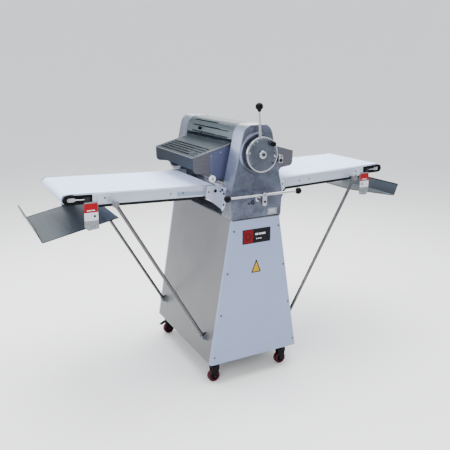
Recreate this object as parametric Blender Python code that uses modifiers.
"""Floor-standing reversible dough sheeter: tapered cabinet on casters, roller head, two hinged
belt tables on struts, hinged guards, gap lever with dial, and reversing bar.

Metres, +Z up, +X along the belts to the operator's right, operator side towards -Y.
Everything hangs from one empty, which puts the centre of the machine's footprint on the origin.
"""

import math

import bmesh
import bpy
from mathutils import Vector

# Placement of the stand's axis, so that the overall box is centred on the origin
MACHINE_X = -0.0085
MACHINE_Y = 0.0248

# Cabinet
STAND_HALF_DEPTH = 0.345
STAND_BASE_HALF_WIDTH = 0.244
STAND_TOP_HALF_WIDTH = 0.127
STAND_BOTTOM_Z = 0.114
STAND_TOP_Z = 0.815
SHEET = 0.002
DECK_TOP_Z = 0.8203
GAP = 0.0005

# Casters
CASTER_X = 0.192
CASTER_Y = 0.293
CASTER_TRAIL = -0.012
WHEEL_RADIUS = 0.031

# Head castings: two identical outlines, front and rear
CASTING_OUTER_Y = 0.345
CASTING_INNER_Y = 0.250
CASTING_WALL = 0.008
CASTING_RIGHT_EDGE = [
    (0.1320, 0.8208),
    (0.1365, 0.935),
    (0.0810, 1.185),
    (0.0775, 1.203),
    (0.0690, 1.222),
    (0.0560, 1.237),
    (0.0400, 1.2445),
    (0.0300, 1.2455),
]

# Rollers
ROLLER_RADIUS = 0.040
ROLLER_HALF_LENGTH = 0.235
JOURNAL_RADIUS = 0.014
RUNNING_GAP = 0.0003
LOWER_ROLLER_Z = 0.923
ROLLER_GAP = 0.0085
UPPER_ROLLER_Z = LOWER_ROLLER_Z + 2 * ROLLER_RADIUS + ROLLER_GAP
LIFT_UP = 0.0296
LIFT_DOWN = 0.0081

# Drive
PULLEY_Y = (0.284, 0.304)
MOTOR_Z = 0.450
MOTOR_PULLEY_RADIUS = 0.035
ROLLER_PULLEY_RADIUS = 0.055
V_BELT_THICKNESS = 0.006

# Gap control
DIAL_X = 0.000
DIAL_Z = 1.117
DIAL_RADIUS = 0.080
SHAFT_RADIUS = 0.009
LEVER_LEAN = math.radians(2.9)
LEVER_LENGTH = 0.2085
LEVER_BALL_RADIUS = 0.017

# Reversing bar
BAR_X = 0.002
BAR_Y = -0.400
BAR_Z = 0.938
BAR_PIVOT_Z = 0.908
BAR_HALF_LENGTH = 0.1705
BAR_KNOB_RADIUS = 0.0155

# Guards
GUARD_HINGE_X = 0.078
GUARD_HINGE_Z = 1.150
GUARD_HALF_WIDTH = 0.2295

# Belt tables
TABLE_PIVOT_X = 0.165
TABLE_PIVOT_Z = 0.9435
TABLE_TILT = math.radians(1.87)
TABLE_END = 0.665
TABLE_ROLLER_RADIUS = 0.0202
BELT_INNER_RADIUS = 0.0205
BELT_OUTER_RADIUS = 0.0225
BELT_HALF_WIDTH = 0.208
RAIL_INNER_Y = 0.213
RAIL_OUTER_Y = 0.225
PAN_START = {-1: 0.620, 1: 0.637}
PAN_LENGTH = 0.323

# Struts
STRUT_Y = 0.260
STRUT_TOP = (0.640, 0.937)
STRUT_FOOT = (0.245, 0.237)
STRUT_RADIUS = 0.0080

SIDES = {"left": -1, "right": 1}
ENDS = {"front": -1, "rear": 1}


# ---------------------------------------------------------------- helpers


def clear_scene():
    for obj in list(bpy.data.objects):
        bpy.data.objects.remove(obj, do_unlink=True)


def material(name, colour, roughness, metallic):
    """A Principled material, made once and then reused by name."""
    found = bpy.data.materials.get(name)
    if found:
        return found
    made = bpy.data.materials.new(name)
    made.use_nodes = True
    made.diffuse_color = (*colour, 1.0)
    shader = made.node_tree.nodes["Principled BSDF"]
    shader.inputs["Base Color"].default_value = (*colour, 1.0)
    shader.inputs["Roughness"].default_value = roughness
    shader.inputs["Metallic"].default_value = metallic
    return made


def cabinet_paint():
    return material("cabinet_paint", (0.62, 0.66, 0.72), 0.45, 0.0)


def hammered_casting():
    return material("hammered_casting", (0.30, 0.31, 0.34), 0.42, 0.7)


def stainless():
    return material("stainless", (0.48, 0.50, 0.52), 0.32, 1.0)


def bright_steel():
    return material("bright_steel", (0.66, 0.67, 0.69), 0.22, 1.0)


def rail_aluminium():
    return material("rail_aluminium", (0.66, 0.69, 0.74), 0.35, 0.8)


def belt_white():
    return material("belt_white", (0.86, 0.88, 0.90), 0.60, 0.0)


def black_plastic():
    return material("black_plastic", (0.012, 0.012, 0.013), 0.30, 0.0)


def black_rubber():
    return material("black_rubber", (0.020, 0.018, 0.018), 0.75, 0.0)


def caster_maroon():
    return material("caster_maroon", (0.17, 0.03, 0.035), 0.50, 0.0)


def cast_iron_grey():
    return material("cast_iron_grey", (0.16, 0.17, 0.18), 0.60, 0.5)


def scraper_white():
    return material("scraper_white", (0.80, 0.80, 0.77), 0.50, 0.0)


def object_from(bm, name):
    mesh = bpy.data.meshes.new(name)
    bm.normal_update()
    bm.to_mesh(mesh)
    bm.free()
    obj = bpy.data.objects.new(name, mesh)
    bpy.context.scene.collection.objects.link(obj)
    return obj


def prism(outline, y_from, y_to):
    """A solid from an outline of (x, z) points, drawn out along Y."""
    turned = sum(a[0] * b[1] - b[0] * a[1] for a, b in zip(outline, outline[1:] + outline[:1]))
    points = list(outline) if turned > 0 else list(reversed(outline))
    low, high = min(y_from, y_to), max(y_from, y_to)
    bm = bmesh.new()
    front = [bm.verts.new((x, low, z)) for x, z in points]
    back = [bm.verts.new((x, high, z)) for x, z in points]
    bm.faces.new(front)
    bm.faces.new(list(reversed(back)))
    for i in range(len(points)):
        j = (i + 1) % len(points)
        bm.faces.new((front[j], front[i], back[i], back[j]))
    return object_from(bm, "prism")


def box(x_from, x_to, y_from, y_to, z_from, z_to):
    outline = [(x_from, z_from), (x_to, z_from), (x_to, z_to), (x_from, z_to)]
    return prism(outline, y_from, y_to)


def rod(start, end, radius, segments=16):
    """A plain cylinder between two points."""
    start, end = Vector(start), Vector(end)
    along = end - start
    bm = bmesh.new()
    bmesh.ops.create_cone(
        bm, cap_ends=True, segments=segments, radius1=radius, radius2=radius, depth=along.length
    )
    turn = Vector((0, 0, 1)).rotation_difference(along.normalized())
    for vert in bm.verts:
        vert.co = turn @ vert.co + (start + end) / 2
    return object_from(bm, "rod")


def turned(profile, centre, segments=24):
    """A ring turned about an axis along Y: profile is a closed loop of (y, radius) points."""
    cx, cz = centre
    area = sum(a[0] * b[1] - b[0] * a[1] for a, b in zip(profile, profile[1:] + profile[:1]))
    points = list(profile) if area > 0 else list(reversed(profile))
    bm = bmesh.new()
    rings = []
    for step in range(segments):
        angle = 2 * math.pi * step / segments
        ring = [bm.verts.new((cx + r * math.cos(angle), y, cz + r * math.sin(angle))) for y, r in points]
        rings.append(ring)
    for step in range(segments):
        here, after = rings[step], rings[(step + 1) % segments]
        for i in range(len(points)):
            j = (i + 1) % len(points)
            bm.faces.new((here[i], after[i], after[j], here[j]))
    return object_from(bm, "turned")


def ball(centre, radius, segments=16, rings=10):
    bm = bmesh.new()
    bmesh.ops.create_uvsphere(bm, u_segments=segments, v_segments=rings, radius=radius)
    for vert in bm.verts:
        vert.co += Vector(centre)
    return object_from(bm, "ball")


def combine(obj, other, operation):
    """Applies one exact boolean to obj and removes the other object."""
    step = obj.modifiers.new("step", "BOOLEAN")
    step.operation = operation
    step.solver = "EXACT"
    step.object = other
    graph = bpy.context.evaluated_depsgraph_get()
    result = bpy.data.meshes.new_from_object(obj.evaluated_get(graph))
    obj.modifiers.clear()
    old = obj.data
    obj.data = result
    bpy.data.meshes.remove(old)
    bpy.data.objects.remove(other, do_unlink=True)
    return obj


def fuse(obj, *others):
    for other in others:
        combine(obj, other, "UNION")
    return obj


def cut(obj, *others):
    for other in others:
        combine(obj, other, "DIFFERENCE")
    return obj


def finish(obj, name, paint, origin=(0.0, 0.0, 0.0)):
    """Names the piece, puts its origin on its joint's axis and hangs it from the machine."""
    for vert in obj.data.vertices:
        vert.co -= Vector(origin)
    obj.location = origin
    obj.name = name
    obj.data.name = name
    obj.data.materials.clear()
    obj.data.materials.append(paint)
    obj.parent = bpy.data.objects["machine"]
    pieces = bpy.data.collections["dough_sheeter"]
    bpy.context.scene.collection.objects.unlink(obj)
    pieces.objects.link(obj)
    return obj


def inset(outline, distance):
    """The outline moved inwards by distance, corner by corner."""
    count = len(outline)
    turned_area = sum(
        outline[i][0] * outline[(i + 1) % count][1] - outline[(i + 1) % count][0] * outline[i][1]
        for i in range(count)
    )
    sign = 1 if turned_area > 0 else -1
    moved = []
    for i in range(count):
        before = Vector(outline[i]) - Vector(outline[i - 1])
        after = Vector(outline[(i + 1) % count]) - Vector(outline[i])
        before.normalize()
        after.normalize()
        inward_a = Vector((-before.y, before.x)) * sign
        inward_b = Vector((-after.y, after.x)) * sign
        middle = (inward_a + inward_b).normalized()
        reach = distance / max(0.3, middle.dot(inward_b))
        corner = Vector(outline[i]) + middle * reach
        moved.append((corner.x, corner.y))
    return moved


def stand_half_width(z):
    rise = (z - STAND_BOTTOM_Z) / (STAND_TOP_Z - STAND_BOTTOM_Z)
    return STAND_BASE_HALF_WIDTH + (STAND_TOP_HALF_WIDTH - STAND_BASE_HALF_WIDTH) * rise


# ---------------------------------------------------------------- cabinet


def frame_ring(half_width, half_depth, bar, z_from, z_to):
    ring = box(-half_width, half_width, -half_depth, half_depth, z_from, z_to)
    inner_x, inner_y = half_width - bar, half_depth - bar
    hole = box(-inner_x, inner_x, -inner_y, inner_y, z_from - 0.01, z_to + 0.01)
    return cut(ring, hole)


def build_stand_frame():
    depth = STAND_HALF_DEPTH - SHEET - GAP
    frame = frame_ring(0.2365, depth, 0.028, STAND_BOTTOM_Z + 0.0005, 0.1395)
    frame = fuse(frame, frame_ring(0.1238, depth, 0.025, 0.787, STAND_TOP_Z - 0.0005))
    low, high = 0.120, 0.810
    skin = 0.0034
    for side in SIDES.values():
        outline = [
            (side * (stand_half_width(low) - skin - 0.025), low),
            (side * (stand_half_width(low) - skin), low),
            (side * (stand_half_width(high) - skin), high),
            (side * (stand_half_width(high) - skin - 0.025), high),
        ]
        for end in ENDS.values():
            fuse(frame, prism(outline, end * (depth - 0.0255), end * (depth - 0.0005)))
            plate_x, plate_y = side * CASTER_X, end * CASTER_Y
            plate = box(
                plate_x - 0.030, plate_x + 0.030, plate_y - 0.030, plate_y + 0.030, 0.1078, 0.1200
            )
            fuse(frame, plate)
    shelf_reach = stand_half_width(0.372) - 0.0045
    fuse(frame, box(-shelf_reach, shelf_reach, -depth + 0.001, depth - 0.001, 0.366, 0.372))
    finish(frame, "stand_frame", cast_iron_grey())


def build_cabinet_panels():
    outline = [
        (-STAND_BASE_HALF_WIDTH, STAND_BOTTOM_Z),
        (STAND_BASE_HALF_WIDTH, STAND_BOTTOM_Z),
        (STAND_TOP_HALF_WIDTH, STAND_TOP_Z),
        (-STAND_TOP_HALF_WIDTH, STAND_TOP_Z),
    ]
    for word, end in ENDS.items():
        panel = prism(outline, end * (STAND_HALF_DEPTH - SHEET), end * STAND_HALF_DEPTH)
        finish(panel, f"{word}_panel", cabinet_paint())
    reach = STAND_HALF_DEPTH - SHEET - 0.0003
    for word, side in SIDES.items():
        outline = [
            (side * (STAND_BASE_HALF_WIDTH - 0.0022), STAND_BOTTOM_Z),
            (side * STAND_BASE_HALF_WIDTH, STAND_BOTTOM_Z),
            (side * STAND_TOP_HALF_WIDTH, STAND_TOP_Z),
            (side * (STAND_TOP_HALF_WIDTH - 0.0022), STAND_TOP_Z),
        ]
        panel = prism(outline, -reach, reach)
        lug = [
            (side * 0.2188, 0.2511),
            (side * 0.2585, 0.2284),
            (side * 0.2541, 0.2206),
            (side * 0.2290, 0.1950),
        ]
        for end in ENDS.values():
            fuse(panel, prism(lug, end * 0.250, end * 0.270))
        finish(panel, f"{word}_panel", cabinet_paint())


def build_deck():
    deck = box(-0.1275, 0.1275, -0.3455, 0.3455, STAND_TOP_Z + 0.0003, DECK_TOP_Z)
    belt_way = box(-0.068, 0.068, 0.279, 0.309, 0.80, 0.83)
    finish(cut(deck, belt_way), "top_deck", hammered_casting())


def build_gland():
    gland = rod((0.110, 0.3455, 0.200), (0.110, 0.353, 0.200), 0.0125, 6)
    fuse(gland, rod((0.110, 0.352, 0.200), (0.110, 0.366, 0.200), 0.0095, 16))
    cut(gland, rod((0.110, 0.358, 0.200), (0.110, 0.370, 0.200), 0.0045, 12))
    finish(gland, "cable_gland", black_plastic())


# ---------------------------------------------------------------- casters


def build_casters():
    for end_word, end in ENDS.items():
        for side_word, side in SIDES.items():
            x, y = side * CASTER_X, end * CASTER_Y
            axle_x = x + CASTER_TRAIL
            name = f"{end_word}_{side_word}"
            fork = rod((x, y, 0.080), (x, y, 0.1072), 0.020, 16)
            fuse(fork, box(axle_x - 0.016, x + 0.017, y - 0.0175, y + 0.0175, 0.0700, 0.0820))
            leg = [
                (x + 0.012, 0.0720),
                (axle_x - 0.012, 0.0720),
                (axle_x - 0.009, 0.0240),
                (axle_x + 0.009, 0.0240),
            ]
            fuse(fork, prism(leg, y - 0.0173, y - 0.0145), prism(leg, y + 0.0145, y + 0.0173))
            fuse(fork, rod((axle_x, y - 0.0165, WHEEL_RADIUS), (axle_x, y + 0.0165, WHEEL_RADIUS), 0.004, 12))
            finish(fork, f"caster_fork_{name}", cast_iron_grey(), (x, y, 0.0))
            tread = [
                (y - 0.0125, 0.0045),
                (y - 0.0125, WHEEL_RADIUS - 0.0030),
                (y - 0.0090, WHEEL_RADIUS),
                (y + 0.0090, WHEEL_RADIUS),
                (y + 0.0125, WHEEL_RADIUS - 0.0030),
                (y + 0.0125, 0.0045),
            ]
            wheel = turned(tread, (axle_x, WHEEL_RADIUS), 24)
            finish(wheel, f"caster_wheel_{name}", caster_maroon(), (axle_x, y, WHEEL_RADIUS))
            if end > 0:
                pedal = [
                    (axle_x - 0.0166, 0.0780),
                    (axle_x - 0.0166, 0.0730),
                    (axle_x - 0.0480, 0.0600),
                    (axle_x - 0.0520, 0.0620),
                    (axle_x - 0.0510, 0.0660),
                ]
                pedal = prism(pedal, y - 0.013, y + 0.013)
                pivot = (axle_x - 0.018, y, 0.0755)
                finish(pedal, f"caster_brake_{name}", black_plastic(), pivot)


# ---------------------------------------------------------------- drive


def build_motor():
    motor = rod((0, 0.030, MOTOR_Z), (0, 0.265, MOTOR_Z), 0.065, 32)
    fuse(motor, box(-0.058, 0.058, 0.060, 0.200, 0.3725, 0.405))
    fuse(motor, box(0.030, 0.085, 0.090, 0.170, 0.430, 0.490))
    finish(motor, "motor", cast_iron_grey())


def pulley_profile(radius, bore):
    low, high = PULLEY_Y
    return [
        (low, bore),
        (low, radius + 0.005),
        (low + 0.0035, radius + 0.005),
        (low + 0.0035, radius),
        (high - 0.0035, radius),
        (high - 0.0035, radius + 0.005),
        (high, radius + 0.005),
        (high, bore),
    ]


def build_pulleys_and_belt():
    pulley = turned(pulley_profile(MOTOR_PULLEY_RADIUS, 0.008), (0, MOTOR_Z), 24)
    fuse(pulley, rod((0, 0.2656, MOTOR_Z), (0, PULLEY_Y[1] - 0.001, MOTOR_Z), 0.0095, 20))
    finish(pulley, "motor_pulley", cast_iron_grey(), (0, 0.294, MOTOR_Z))
    bore = JOURNAL_RADIUS + RUNNING_GAP
    wheel = turned(pulley_profile(ROLLER_PULLEY_RADIUS, bore), (0, LOWER_ROLLER_Z), 28)
    finish(wheel, "roller_pulley", cast_iron_grey(), (0, 0.294, LOWER_ROLLER_Z))
    inside = belt_loop(MOTOR_PULLEY_RADIUS + 0.0008, ROLLER_PULLEY_RADIUS + 0.0008)
    outside = belt_loop(
        MOTOR_PULLEY_RADIUS + 0.0008 + V_BELT_THICKNESS,
        ROLLER_PULLEY_RADIUS + 0.0008 + V_BELT_THICKNESS,
    )
    belt = prism(outside, 0.2885, 0.2995)
    finish(cut(belt, prism(inside, 0.280, 0.310)), "drive_belt", black_rubber())


def belt_loop(low_radius, high_radius):
    """The outline round two circles, one above the other, joined by their outer tangents."""
    lean = math.asin((high_radius - low_radius) / (LOWER_ROLLER_Z - MOTOR_Z))
    points = []
    for step in range(17):
        angle = -lean + (math.pi + 2 * lean) * step / 16
        points.append((high_radius * math.cos(angle), LOWER_ROLLER_Z + high_radius * math.sin(angle)))
    for step in range(17):
        angle = math.pi + lean + (math.pi - 2 * lean) * step / 16
        points.append((low_radius * math.cos(angle), MOTOR_Z + low_radius * math.sin(angle)))
    return points


# ---------------------------------------------------------------- head


def casting_outline():
    left = [(-x, z) for x, z in reversed(CASTING_RIGHT_EDGE)]
    return CASTING_RIGHT_EDGE + left


def casting_cavity():
    """The casting's hollow: its outline moved in, and open at the foot."""
    inner = inset(casting_outline(), 0.009)
    inner[0] = (inner[0][0], 0.810)
    inner[-1] = (inner[-1][0], 0.810)
    return inner


def journal_slot():
    half = JOURNAL_RADIUS + 0.0008
    low = UPPER_ROLLER_Z - LIFT_DOWN - JOURNAL_RADIUS - 0.0012
    high = UPPER_ROLLER_Z + LIFT_UP + JOURNAL_RADIUS + 0.0012
    return [(-half, low), (half, low), (half, high), (-half, high)]


def build_casting(word, end):
    outer, inner = end * CASTING_OUTER_Y, end * CASTING_INNER_Y
    casting = prism(casting_outline(), outer, inner)
    bevel = casting.modifiers.new("edge", "BEVEL")
    bevel.width = 0.004
    bevel.segments = 1
    bevel.limit_method = "ANGLE"
    bevel.angle_limit = math.radians(50)
    if end < 0:
        boss = rod((DIAL_X, -0.357, DIAL_Z), (DIAL_X, -0.343, DIAL_Z), 0.0915, 36)
        fuse(casting, boss)
    cut(casting, prism(casting_cavity(), end * 0.337, end * 0.258))
    through = CASTING_INNER_Y - 0.002
    journal = JOURNAL_RADIUS + RUNNING_GAP
    cut(casting, rod((0, end * through, LOWER_ROLLER_Z), (0, end * 0.262, LOWER_ROLLER_Z), journal, 24))
    cut(casting, prism(journal_slot(), end * through, end * 0.262))
    shaft = SHAFT_RADIUS + 0.0005
    deep = 0.362 if end < 0 else 0.262
    cut(casting, rod((DIAL_X, end * through, DIAL_Z), (DIAL_X, end * deep, DIAL_Z), shaft, 16))
    for side in SIDES.values():
        hole_x = side * GUARD_HINGE_X
        start, stop = (hole_x, end * through, GUARD_HINGE_Z), (hole_x, end * 0.2555, GUARD_HINGE_Z)
        cut(casting, rod(start, stop, 0.0045, 10))
    if end < 0:
        cut(casting, rod((BAR_X, -0.350, BAR_PIVOT_Z), (BAR_X, -0.330, BAR_PIVOT_Z), 0.0065, 12))
    finish(casting, f"{word}_casting", hammered_casting())


def build_tie_bars():
    for word, side in SIDES.items():
        x = side * 0.070
        bar = rod((x, -CASTING_INNER_Y + GAP, 0.850), (x, CASTING_INNER_Y - GAP, 0.850), 0.010, 20)
        finish(bar, f"tie_bar_{word}", bright_steel())


def cover_path(distance):
    """The part of the casting's outline above the guards, moved inwards, with its long edges
    turned in behind the guard hinges so that a raised guard clears them."""
    path = [(x, z) for x, z in inset(casting_outline(), distance) if z > 1.18]
    if path[0][0] < path[-1][0]:
        path.reverse()
    slope = (0.1365 - 0.0810) / (1.185 - 0.935)
    bend = (path[0][0] + (path[0][1] - 1.1710) * slope, 1.1710)
    hem = (0.0765 - distance, 1.1605)
    return [hem, bend] + path + [(-bend[0], bend[1]), (-hem[0], hem[1])]


def build_top_cover():
    outside, inside = cover_path(0.003), cover_path(0.005)
    cover = prism(outside + list(reversed(inside)), -0.2493, 0.2493)
    for side in SIDES.values():
        for x, z, lean in ((0.0725, 1.2065, 1.15), (0.0565, 1.2290, 0.80), (0.0800, 1.1770, 1.42)):
            along = Vector((-math.cos(lean), math.sin(lean))) * 0.0030
            across = Vector((math.sin(lean), math.cos(lean))) * 0.0100
            centre = Vector((x, z))
            corners = [centre + along + across, centre + along - across]
            corners += [centre - along - across, centre - along + across]
            slot = prism([(side * corner.x, corner.y) for corner in corners], -0.205, 0.190)
            cut(cover, slot)
    finish(cover, "top_cover", stainless())


# ---------------------------------------------------------------- rollers


def roller(centre, radius, half_length, journal, front, rear, segments=32):
    """A roller and its journals, turned as one piece about an axis along Y."""
    x, z = centre
    body = rod((x, -half_length, z), (x, half_length, z), radius, segments)
    return fuse(body, rod((x, -front, z), (x, rear, z), journal, 16))


def build_rollers():
    lower = roller((0, LOWER_ROLLER_Z), ROLLER_RADIUS, ROLLER_HALF_LENGTH, JOURNAL_RADIUS, 0.260, 0.306)
    finish(lower, "lower_roller", bright_steel(), (0, 0, LOWER_ROLLER_Z))
    upper = roller((0, UPPER_ROLLER_Z), ROLLER_RADIUS, ROLLER_HALF_LENGTH, JOURNAL_RADIUS, 0.272, 0.272)
    finish(upper, "upper_roller", bright_steel(), (0, 0, UPPER_ROLLER_Z))
    bore = JOURNAL_RADIUS + RUNNING_GAP
    for word, end in ENDS.items():
        z = UPPER_ROLLER_Z
        block = box(-0.028, 0.028, end * 0.2588, end * 0.2745, z - 0.028, z + 0.028)
        cut(block, rod((0, end * 0.250, z), (0, end * 0.280, z), bore, 20))
        finish(block, f"{word}_bearing_block", cast_iron_grey(), (0, 0, z))


def build_scrapers():
    z = UPPER_ROLLER_Z
    cage = None
    for end in ENDS.values():
        cheek = box(-0.079, 0.079, end * 0.2380, end * 0.2412, z - 0.024, z + 0.058)
        cut(cheek, rod((0, end * 0.230, z), (0, end * 0.250, z), JOURNAL_RADIUS + 0.001, 20))
        cage = cheek if cage is None else fuse(cage, cheek)
    for side in SIDES.values():
        blade = [
            (side * 0.0372, z + 0.0175),
            (side * 0.0395, z + 0.0150),
            (side * 0.0780, z + 0.0525),
            (side * 0.0760, z + 0.0555),
        ]
        fuse(cage, prism(blade, -0.2390, 0.2390))
    finish(cage, "upper_scraper", scraper_white(), (0, 0, z))
    low = [(-0.014, 0.868), (0.014, 0.868), (0.014, 0.877), (0.004, 0.8812), (-0.004, 0.8812), (-0.014, 0.877)]
    finish(prism(low, -0.2495, 0.2495), "lower_scraper", scraper_white())


# ---------------------------------------------------------------- gap control


def build_gap_control():
    axis = (DIAL_X, DIAL_Z)
    bore = SHAFT_RADIUS + 0.0005
    face = [
        (-0.3720, bore),
        (-0.3720, DIAL_RADIUS - 0.002),
        (-0.3740, DIAL_RADIUS),
        (-0.3855, DIAL_RADIUS),
        (-0.3870, DIAL_RADIUS - 0.0015),
        (-0.3870, DIAL_RADIUS - 0.0060),
        (-0.3845, DIAL_RADIUS - 0.0070),
        (-0.3845, bore),
    ]
    finish(turned(face, axis, 40), "gap_dial", hammered_casting(), (DIAL_X, -0.378, DIAL_Z))

    shaft = rod((DIAL_X, -0.389, DIAL_Z), (DIAL_X, 0.290, DIAL_Z), SHAFT_RADIUS, 16)
    fuse(shaft, rod((DIAL_X, -0.3935, DIAL_Z), (DIAL_X, -0.3850, DIAL_Z), 0.0190, 24))
    for y in (-0.297, 0.272):
        fuse(shaft, rod((DIAL_X, y, DIAL_Z + 0.006), (DIAL_X, y + 0.014, DIAL_Z + 0.006), 0.019, 16))
    finish(shaft, "gap_shaft", bright_steel(), (DIAL_X, -0.378, DIAL_Z))

    aim = Vector((-math.sin(LEVER_LEAN), 0.0, math.cos(LEVER_LEAN)))
    centre = Vector((DIAL_X, -0.3675, DIAL_Z))
    across = Vector((aim.z, 0.0, -aim.x)) * 0.008
    tip = centre + aim * 0.105
    arm = [(centre - across), (centre + across), (tip + across), (tip - across)]
    lever = rod((DIAL_X, -0.3712, DIAL_Z), (DIAL_X, -0.3640, DIAL_Z), 0.028, 24)
    fuse(lever, prism([(corner.x, corner.z) for corner in arm], -0.3710, -0.3642))
    fuse(lever, rod(centre + aim * 0.060, centre + aim * 0.138, 0.0034, 12))
    fuse(lever, rod(centre + aim * 0.098, centre + aim * 0.138, 0.0062, 12))
    fuse(lever, rod(centre + aim * 0.130, centre + aim * 0.1912, 0.0040, 10))
    cut(lever, rod((DIAL_X, -0.380, DIAL_Z), (DIAL_X, -0.360, DIAL_Z), bore, 16))
    finish(lever, "gap_lever", bright_steel(), (DIAL_X, -0.378, DIAL_Z))
    grip = ball(centre + aim * LEVER_LENGTH, LEVER_BALL_RADIUS)
    finish(grip, "lever_ball", black_plastic(), (DIAL_X, -0.378, DIAL_Z))


def build_stop_knob():
    """The knob that clamps the thickness stop to the dial, near its rim."""
    angle = math.radians(43)
    x = DIAL_X + 0.0660 * math.cos(angle)
    z = DIAL_Z + 0.0660 * math.sin(angle)
    knob = rod((x, -0.4040, z), (x, -0.3905, z), 0.0120, 12)
    fuse(knob, rod((x, -0.3915, z), (x, -0.3850, z), 0.0050, 12))
    finish(knob, "stop_knob", black_plastic(), (x, -0.378, z))


# ---------------------------------------------------------------- reversing bar


def build_reversing_bar():
    pivot = (BAR_X, BAR_Y, BAR_PIVOT_Z)
    bar = rod((BAR_X - BAR_HALF_LENGTH, BAR_Y, BAR_Z), (BAR_X + BAR_HALF_LENGTH, BAR_Y, BAR_Z), 0.0058, 14)
    finish(bar, "reversing_bar", bright_steel(), pivot)
    block = box(BAR_X - 0.0115, BAR_X + 0.0115, BAR_Y - 0.010, BAR_Y + 0.009, 0.888, 0.950)
    fuse(block, rod((BAR_X, BAR_Y, BAR_PIVOT_Z), (BAR_X, -0.3330, BAR_PIVOT_Z), 0.0060, 12))
    fuse(block, rod((BAR_X, BAR_Y - 0.0135, BAR_PIVOT_Z), (BAR_X, BAR_Y, BAR_PIVOT_Z), 0.0065, 6))
    bore = [(BAR_X - 0.02, BAR_Y, BAR_Z), (BAR_X + 0.02, BAR_Y, BAR_Z)]
    cut(block, rod(bore[0], bore[1], 0.0062, 14))
    finish(block, "bar_bracket", cast_iron_grey(), pivot)
    for word, side in SIDES.items():
        x = BAR_X + side * (BAR_HALF_LENGTH + BAR_KNOB_RADIUS + 0.0003)
        knob = ball((x, BAR_Y, BAR_Z), BAR_KNOB_RADIUS)
        finish(knob, f"bar_knob_{word}", black_plastic(), pivot)


# ---------------------------------------------------------------- guards


def build_guard(word, side):
    hood = [
        (0.0780, 1.1525),
        (0.2700, 1.0985),
        (0.2680, 1.0450),
        (0.2640, 1.0330),
        (0.2530, 1.0255),
        (0.2000, 1.0190),
        (0.1880, 1.0000),
        (0.1760, 0.9900),
        (0.1580, 0.9860),
        (0.0900, 0.9880),
        (0.0850, 1.0200),
        (0.0780, 1.1460),
    ]
    hollow = [
        (0.0400, 1.1611),
        (0.2677, 1.0971),
        (0.2657, 1.0450),
        (0.3000, 1.0450),
        (0.3000, 0.9500),
        (0.0400, 0.9500),
    ]
    guard = prism([(side * x, z) for x, z in hood], -GUARD_HALF_WIDTH, GUARD_HALF_WIDTH)
    inner = GUARD_HALF_WIDTH - SHEET
    cut(guard, prism([(side * x, z) for x, z in hollow], -inner, inner))
    for x in (0.2480, 0.2290, 0.2100, 0.1910, 0.1720):
        low, high = sorted((side * (x - 0.0036), side * (x + 0.0036)))
        cut(guard, box(low, high, -0.198, 0.198, 1.06, 1.15))
    pin_x = side * GUARD_HINGE_X
    pin = rod((pin_x, -0.2545, GUARD_HINGE_Z), (pin_x, 0.2545, GUARD_HINGE_Z), 0.0040, 10)
    fuse(guard, pin)
    finish(guard, f"{word}_guard", stainless(), (pin_x, 0, GUARD_HINGE_Z))


# ---------------------------------------------------------------- belt tables


def on_table(side, u, h):
    """A point u along the table from its pivot and h above it, as (x, z)."""
    x = TABLE_PIVOT_X + u * math.cos(TABLE_TILT) - h * math.sin(TABLE_TILT)
    z = TABLE_PIVOT_Z + u * math.sin(TABLE_TILT) + h * math.cos(TABLE_TILT)
    return (side * x, z)


def table_outline(side, points):
    return [on_table(side, u, h) for u, h in points]


def build_table_carrier(word, side):
    plate = [
        (0.2160, 0.9210),
        (0.2060, 0.9665),
        (0.1380, 0.9680),
        (0.0920, 0.9580),
        (0.0920, 0.8350),
        (0.1080, 0.8320),
    ]
    outline = [(side * x, z) for x, z in plate]
    x = side * 0.150
    carrier = rod((x, -0.2450, 0.885), (x, 0.2450, 0.885), 0.009, 14)
    for end in ENDS.values():
        cheek = prism(outline, end * 0.2437, end * 0.2495)
        pivot_x = side * TABLE_PIVOT_X
        hole = rod((pivot_x, end * 0.240, TABLE_PIVOT_Z), (pivot_x, end * 0.255, TABLE_PIVOT_Z), 0.0087, 16)
        fuse(carrier, cut(cheek, hole))
    finish(carrier, f"{word}_table_carrier", bright_steel())


def build_table_frame(word, side):
    rail = [(-0.020, -0.012), (-0.020, 0.012), (-0.012, 0.0195), (0.000, 0.0217), (0.535, 0.0217)]
    rail += [(0.540, 0.0180), (0.665, 0.0180), (0.677, 0.0130), (0.683, 0.0000), (0.677, -0.0130)]
    rail += [(0.665, -0.0180), (0.540, -0.0180), (0.535, -0.0313), (0.000, -0.0313), (-0.012, -0.0240)]
    deck = [(0.030, 0.0165), (0.030, 0.0195), (0.635, 0.0195), (0.635, 0.0165)]
    frame = prism(table_outline(side, deck), -RAIL_INNER_Y - 0.001, RAIL_INNER_Y + 0.001)
    for u in (0.060, 0.320, 0.600):
        member = [(u - 0.010, -0.0120), (u - 0.010, 0.0170), (u + 0.010, 0.0170), (u + 0.010, -0.0120)]
        fuse(frame, prism(table_outline(side, member), -RAIL_INNER_Y - 0.001, RAIL_INNER_Y + 0.001))
    inner_axis, outer_axis = on_table(side, 0, 0), on_table(side, TABLE_END, 0)
    for end in ENDS.values():
        plate = prism(table_outline(side, rail), end * RAIL_INNER_Y, end * RAIL_OUTER_Y)
        for axis, radius in ((inner_axis, 0.0088), (outer_axis, 0.0067)):
            start, stop = (axis[0], end * 0.205, axis[1]), (axis[0], end * 0.235, axis[1])
            cut(plate, rod(start, stop, radius, 16))
        fuse(frame, plate)
    finish(frame, f"{word}_table_frame", rail_aluminium(), (inner_axis[0], 0, inner_axis[1]))


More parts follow.
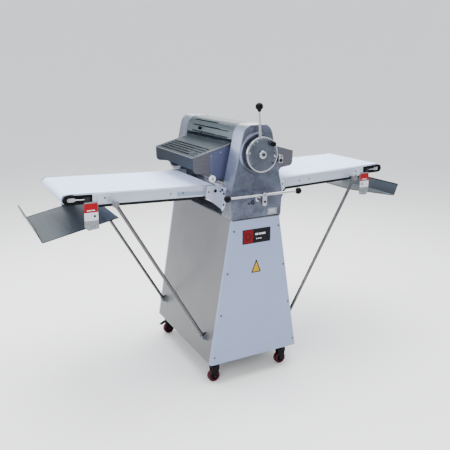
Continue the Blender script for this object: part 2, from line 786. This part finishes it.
def loop_round_table(side, radius):
    """The outline round the table's two rollers at one radius."""
    points = []
    for step in range(13):
        angle = math.pi / 2 + math.pi * step / 12
        points.append((radius * math.cos(angle), radius * math.sin(angle)))
    for step in range(13):
        angle = -math.pi / 2 + math.pi * step / 12
        points.append((TABLE_END + radius * math.cos(angle), radius * math.sin(angle)))
    return table_outline(side, points)


def build_table_belt(word, side):
    belt = prism(loop_round_table(side, BELT_OUTER_RADIUS), -BELT_HALF_WIDTH, BELT_HALF_WIDTH)
    cut(belt, prism(loop_round_table(side, BELT_INNER_RADIUS), -0.25, 0.25))
    pivot = on_table(side, 0, 0)
    finish(belt, f"{word}_belt", belt_white(), (pivot[0], 0, pivot[1]))


def build_table_rollers(word, side):
    inner, outer = on_table(side, 0, 0), on_table(side, TABLE_END, 0)
    drive = roller(inner, TABLE_ROLLER_RADIUS, BELT_HALF_WIDTH, 0.0080, 0.2485, 0.2485, 24)
    finish(drive, f"{word}_drive_roller", black_rubber(), (inner[0], 0, inner[1]))
    end_roller = roller(outer, TABLE_ROLLER_RADIUS, BELT_HALF_WIDTH, 0.0060, 0.2235, 0.2235, 24)
    finish(end_roller, f"{word}_end_roller", bright_steel(), (outer[0], 0, outer[1]))


def build_catch_pan(word, side):
    start = PAN_START[side]
    end = start + PAN_LENGTH
    floor = [
        (start, 0.8690),
        (end, 0.8015),
        (end + 0.0240, 0.8640),
        (end + 0.0264, 0.8632),
        (end + 0.0016, 0.7985),
        (start - 0.0004, 0.8664),
    ]
    pan = prism([(side * x, z) for x, z in floor], -0.2275, 0.2275)
    hanger = [(0.706, 0.9500), (0.764, 0.9500), (0.768, 0.8420), (0.752, 0.8270), (0.706, 0.8330)]
    for sign in ENDS.values():
        fuse(pan, prism([(side * x, z) for x, z in hanger], sign * 0.2262, sign * 0.2290))
    pivot = on_table(side, 0, 0)
    finish(pan, f"{word}_catch_pan", stainless(), (pivot[0], 0, pivot[1]))


# ---------------------------------------------------------------- struts


def build_strut(side_word, side, end_word, end):
    y = end * STRUT_Y
    top = Vector((side * STRUT_TOP[0], y, STRUT_TOP[1]))
    foot = Vector((side * STRUT_FOOT[0], y, STRUT_FOOT[1]))
    down = (foot - top).normalized()
    strut = rod(top + down * 0.006, foot - down * 0.004, STRUT_RADIUS, 12)
    fuse(strut, rod(foot - down * 0.014, foot, 0.0085, 12))
    fuse(strut, rod(top - Vector((0, 0.0048, 0)), top + Vector((0, 0.0048, 0)), 0.0150, 20))
    stub_from = (top.x, end * 0.2254, top.z)
    stub_to = (top.x, end * 0.2690, top.z)
    fuse(strut, rod(stub_from, stub_to, 0.0055, 10))
    finish(strut, f"{side_word}_strut_{end_word}", bright_steel(), top)


# ---------------------------------------------------------------- assembly


def main():
    clear_scene()
    scene = bpy.context.scene
    pieces = bpy.data.collections.new("dough_sheeter")
    scene.collection.children.link(pieces)
    machine = bpy.data.objects.new("machine", None)
    pieces.objects.link(machine)
    machine.location = (MACHINE_X, MACHINE_Y, 0.0)

    build_stand_frame()
    build_cabinet_panels()
    build_deck()
    build_gland()
    build_casters()
    build_motor()
    build_pulleys_and_belt()
    for word, end in ENDS.items():
        build_casting(word, end)
    build_tie_bars()
    build_top_cover()
    build_rollers()
    build_scrapers()
    build_gap_control()
    build_stop_knob()
    build_reversing_bar()
    for word, side in SIDES.items():
        build_guard(word, side)
        build_table_carrier(word, side)
        build_table_frame(word, side)
        build_table_belt(word, side)
        build_table_rollers(word, side)
        build_catch_pan(word, side)
        for end_word, end in ENDS.items():
            build_strut(word, side, end_word, end)


main()
